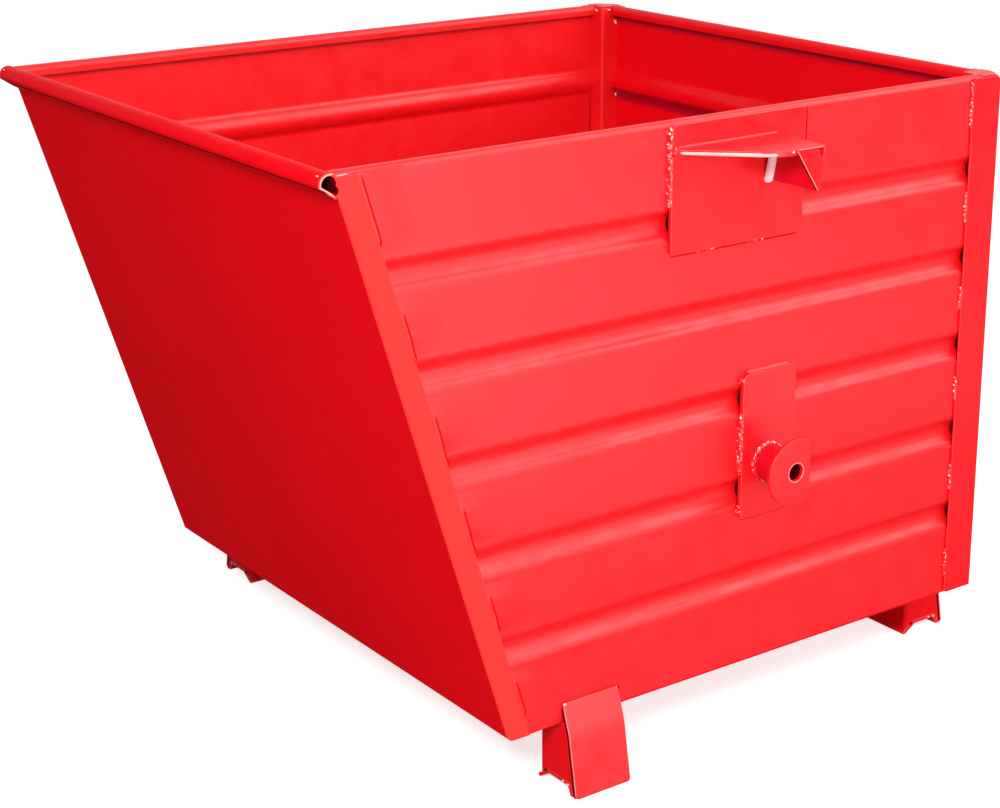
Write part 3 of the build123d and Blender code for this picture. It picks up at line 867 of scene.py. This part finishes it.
    cut_path = [(cut_start + cut_step * step, -45) for step in range(25)]
    for step in range(1, 8):
        turn = shoulder_turn * (step / shoulder_steps - 1)
        radial = Vector((math.cos(math.radians(turn)), math.sin(math.radians(turn))))
        cut_path.append((shoulder + radial * shoulder_radius, turn))
    cut_rings = []
    for flat, turn in cut_path:
        cut_faces = on_side(side, math.cos(math.radians(turn)), math.sin(math.radians(turn)), 0)
        cut_across = (upwards * math.cos(cut_lean) - cut_faces * math.sin(cut_lean)) * 0.0028
        cut_out = (cut_faces * math.cos(cut_lean) + upwards * math.sin(cut_lean)) * 0.0003
        cut_rings.append((on_side(side, flat.x, flat.y, ramp_top - ramp_sheet / 2), cut_across, cut_out))
    lay_bead(edges, cut_rings, even)
    fold_front = on_side(side, ramp_end - 0.0014, lip_rear - 0.0425, ramp_top - 0.0005)
    fold_rear = on_side(side, ramp_end - 0.0014, lip_rear - 0.0010, ramp_top - 0.0005)
    lay_strip(edges, fold_front, fold_rear, (outwards + upwards).normalized(), half_width=0.0006)
    dot_front = on_side(side, ramp_end - 0.0019, lip_rear - 0.0500, ramp_top - 0.0022)
    dot_rear = on_side(side, ramp_end - 0.0016, lip_rear - 0.0460, ramp_top - 0.0020)
    lay_strip(edges, dot_front, dot_rear, outwards, half_width=0.0018, rise=0.0011, lump=0.0)
    finish_piece(f"latch_cut_edges_{word}", edges, edge_glint_paint)
    finish_piece(f"latch_ramp_welds_{word}", beads, bead_paint)

# Stacking feet
# A folded channel, a bent saddle and an outer guide make each of the four feet. The guide stands a
# little off the channel's edge, and tacks hold its top, the channel and the saddle. Near-black strips
# of painted shade lie in the gap behind the guide and at the toe. The guide's edge carries a light strip
# of painted highlight, the tacks are near-white with painted glints, and the webs, which look forwards,
# take the deeper, painted-shade red.
foot_paint = red_paint("foot_paint", red, roughness=0.40, gloss=0.75, seed=6)
# Painted shade: the webs take the deeper copy of the red.
web_paint = red_paint("foot_web_paint", forward_shade_red, roughness=0.40, gloss=0.12, seed=6, edge_light=0.3)
foot_ends = {end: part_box(f"foot_{end}_channel_right") for end in ("front", "rear")}
ground = min(low.z for low, high in foot_ends.values())
body_side = sheet_high.x
guide_bend = 76


def at_foot(end, side, out, along, up):
    """A place on a foot in mm: out from the body, along it from the foot's first end, up from the ground."""
    low, high = foot_ends[end]
    if end == "front":
        return on_side(side, body_side + out / 1000, low.y + along / 1000, ground + up / 1000)
    return on_side(side, high.x - along / 1000, rear_face + out / 1000, ground + up / 1000)


def guide_inside(up):
    """How far out the guide's inner face is at a height."""
    if up < guide_bend - 0.6:
        return 9.95 + 0.179 * (guide_bend - up)
    return 9.82 - 0.3514 * (up - guide_bend)


for side, word in sides:
    for end in foot_ends:
        finish_nodes(web_paint, f"foot_{end}_channel_{word}")
        finish_nodes(foot_paint, f"foot_{end}_saddle_{word}", f"foot_{end}_guide_{word}")
        facing = (at_foot(end, side, 0, -1, 0) - at_foot(end, side, 0, 0, 0)).normalized()
        off_wall = (at_foot(end, side, 1, 0, 0) - at_foot(end, side, 0, 0, 0)).normalized()
        # Painted shade: near-black strips in the gap behind the guide, at the toe and at the guide's top.
        gap = bmesh.new()
        path = [at_foot(end, side, guide_inside(up) - 1.3, -0.1, up) for up in range(3, 110, 4)]
        lay_bead(gap, ribbon(path, facing, half_width=0.0015), even)
        toe_start = at_foot(end, side, -36.5, -0.1, 11.4)
        toe_end = at_foot(end, side, -32.0, -0.1, 14.3)
        lay_strip(gap, toe_start, toe_end, facing, half_width=0.0021, rise=0.0003, lump=0.2)
        mark_top = at_foot(end, side, -2.9, 83.6, 112)
        mark_low = at_foot(end, side, -2.9, 83.6, 106)
        lay_strip(gap, mark_top, mark_low, off_wall, half_width=0.0011)
        finish_piece(f"foot_{end}_open_seam_shades_{word}", gap, near_black_shade)
        # The tacks take the near-white paint, with their glints painted into it.
        tacks = bmesh.new()
        for out, up in ((-2.2, 14.0), (7.2, 13.2)):
            tack_start = at_foot(end, side, out, 0, up)
            tack_end = at_foot(end, side, out + 3.6, 0, up - 0.5)
            lay_strip(tacks, tack_start, tack_end, facing, half_width=0.0012, rise=0.0010, lump=0.8)
        top_start = at_foot(end, side, 0.3, -0.4, 111.6)
        top_end = at_foot(end, side, 0.3, 3.6, 111.6)
        lay_strip(tacks, top_start, top_end, off_wall, half_width=0.0016, rise=0.0014, lump=0.8)
        finish_piece(f"foot_{end}_tacks_{word}", tacks, glint_bead)
        # Painted highlight: a light strip along the guide's edge.
        edge_glint = bmesh.new()
        path = [at_foot(end, side, guide_inside(up) + 1.9, -0.1, up) for up in range(4, 111, 4)]
        lay_bead(edge_glint, ribbon(path, facing, half_width=0.0009), even)
        finish_piece(f"foot_{end}_guide_edge_glint_{word}", edge_glint, edge_glint_paint)

# Studio
# A plain pale floor in a white surround, with soft lamps beside the camera, behind, right and low down.
# Two dark mats, round the hopper and behind it, show in reflections alone, as a photographer's flags do.
def flat_card(name, corner, opposite, lift):
    """A level card between two corners."""
    mesh = bpy.data.meshes.new(name)
    form = bmesh.new()
    bmesh.ops.create_grid(form, x_segments=1, y_segments=1, size=0.5)
    bmesh.ops.scale(form, vec=(opposite[0] - corner[0], opposite[1] - corner[1], 1), verts=form.verts)
    middle = ((corner[0] + opposite[0]) / 2, (corner[1] + opposite[1]) / 2, lift)
    bmesh.ops.translate(form, vec=middle, verts=form.verts)
    form.to_mesh(mesh)
    form.free()
    card = bpy.data.objects.new(name, mesh)
    bpy.context.scene.collection.objects.link(card)
    return card


def background_rays(tree):
    """1 for rays that show the background: from the camera, from gloss and through glass."""
    rays = tree.nodes.new("ShaderNodeLightPath")
    either = tree.nodes.new("ShaderNodeMath")
    either.operation = "MAXIMUM"
    tree.links.new(rays.outputs["Is Camera Ray"], either.inputs[0])
    tree.links.new(rays.outputs["Is Glossy Ray"], either.inputs[1])
    any_of = tree.nodes.new("ShaderNodeMath")
    any_of.operation = "MAXIMUM"
    tree.links.new(either.outputs["Value"], any_of.inputs[0])
    tree.links.new(rays.outputs["Is Transmission Ray"], any_of.inputs[1])
    return any_of.outputs["Value"]


floor = flat_card("floor", (-18.0, -18.0), (18.0, 18.0), 0.0)
floor_paint = bpy.data.materials.new("floor_paint")
floor_paint.use_nodes = True
tree = floor_paint.node_tree
tree.nodes.remove(tree.nodes["Principled BSDF"])
for_light = tree.nodes.new("ShaderNodeBsdfDiffuse")
for_light.inputs["Color"].default_value = (0.50, 0.50, 0.50, 1)
for_eye = tree.nodes.new("ShaderNodeBsdfDiffuse")
for_eye.inputs["Color"].default_value = (0.80, 0.80, 0.80, 1)
glow = tree.nodes.new("ShaderNodeEmission")
glow.inputs["Strength"].default_value = 0.70
both = tree.nodes.new("ShaderNodeAddShader")
tree.links.new(for_eye.outputs["BSDF"], both.inputs[0])
tree.links.new(glow.outputs["Emission"], both.inputs[1])
mix = tree.nodes.new("ShaderNodeMixShader")
tree.links.new(background_rays(tree), mix.inputs["Fac"])
tree.links.new(for_light.outputs["BSDF"], mix.inputs[1])
tree.links.new(both.outputs["Shader"], mix.inputs[2])
tree.links.new(mix.outputs["Shader"], tree.nodes["Material Output"].inputs["Surface"])
floor.data.materials.append(floor_paint)

mat_height = 0.001
mat = flat_card("dark_mat", (-9.0, -9.0), (1.2, 1.6), mat_height)
rear_mat = flat_card("dark_rear_mat", (-9.0, 1.7), (9.0, 9.0), mat_height)
mat_cloth = bpy.data.materials.new("mat_cloth")
mat_cloth.use_nodes = True
mat_cloth.node_tree.nodes["Principled BSDF"].inputs["Base Color"].default_value = (0.03, 0.03, 0.03, 1)
mat_cloth.node_tree.nodes["Principled BSDF"].inputs["Roughness"].default_value = 0.9
for cloth in (mat, rear_mat):
    cloth.data.materials.append(mat_cloth)
    cloth.visible_camera = False
    cloth.visible_diffuse = False
    cloth.visible_shadow = False
    cloth.visible_transmission = False

world = bpy.data.worlds.new("surround")
bpy.context.scene.world = world
world.use_nodes = True
sky = world.node_tree.nodes["Background"]
sky.inputs["Color"].default_value = (1, 1, 1, 1)
sky_level = world.node_tree.nodes.new("ShaderNodeMapRange")
sky_level.inputs["To Min"].default_value = 0.36
sky_level.inputs["To Max"].default_value = 1.0
world.node_tree.links.new(background_rays(world.node_tree), sky_level.inputs["Value"])
world.node_tree.links.new(sky_level.outputs["Result"], sky.inputs["Strength"])


def soft_lamp(name, place, target, size, power):
    """A square soft box that points at a place."""
    lamp = bpy.data.lights.new(name, "AREA")
    lamp.shape = "SQUARE"
    lamp.size = size
    lamp.energy = power
    holder = bpy.data.objects.new(name, lamp)
    holder.location = place
    holder.rotation_euler = (Vector(target) - Vector(place)).to_track_quat("-Z", "Y").to_euler()
    bpy.context.scene.collection.objects.link(holder)


soft_lamp("lamp_beside_camera", (2.0, -1.85, 1.9), (0.2, 0.0, 0.4), size=0.6, power=72.0)
soft_lamp("lamp_behind", (1.7, 1.7, 2.4), (0.3, 0.0, 0.4), size=2.2, power=48.0)
soft_lamp("lamp_right", (2.9, 0.6, 0.9), (0.4, -0.3, 0.4), size=1.2, power=13.0)
soft_lamp("lamp_low", (2.3, -0.2, 0.25), (0.4, 0.1, 0.4), size=0.8, power=14.0)

image_width = 1000
focal_pixels = 2103.1
camera_turn = math.radians(54.2131)
camera_tilt = math.radians(16.9327)
camera_roll = math.radians(-0.1951)
lens = bpy.data.cameras.new("camera")
lens.sensor_fit = "HORIZONTAL"
lens.sensor_width = 36.0
lens.lens = focal_pixels * lens.sensor_width / image_width
lens.shift_x = -0.019
lens.shift_y = -0.064
camera = bpy.data.objects.new("camera", lens)
back = Vector(
    (
        math.sin(camera_turn) * math.cos(camera_tilt),
        -math.cos(camera_turn) * math.cos(camera_tilt),
        math.sin(camera_tilt),
    )
)
level_view = (-back).to_track_quat("-Z", "Y").to_matrix()
camera.rotation_euler = (level_view @ Matrix.Rotation(camera_roll, 3, "Z")).to_euler()
camera.location = (2.1594, -1.5326, 1.2247)
bpy.context.scene.collection.objects.link(camera)
bpy.context.scene.camera = camera
bpy.context.scene.view_settings.view_transform = "Standard"
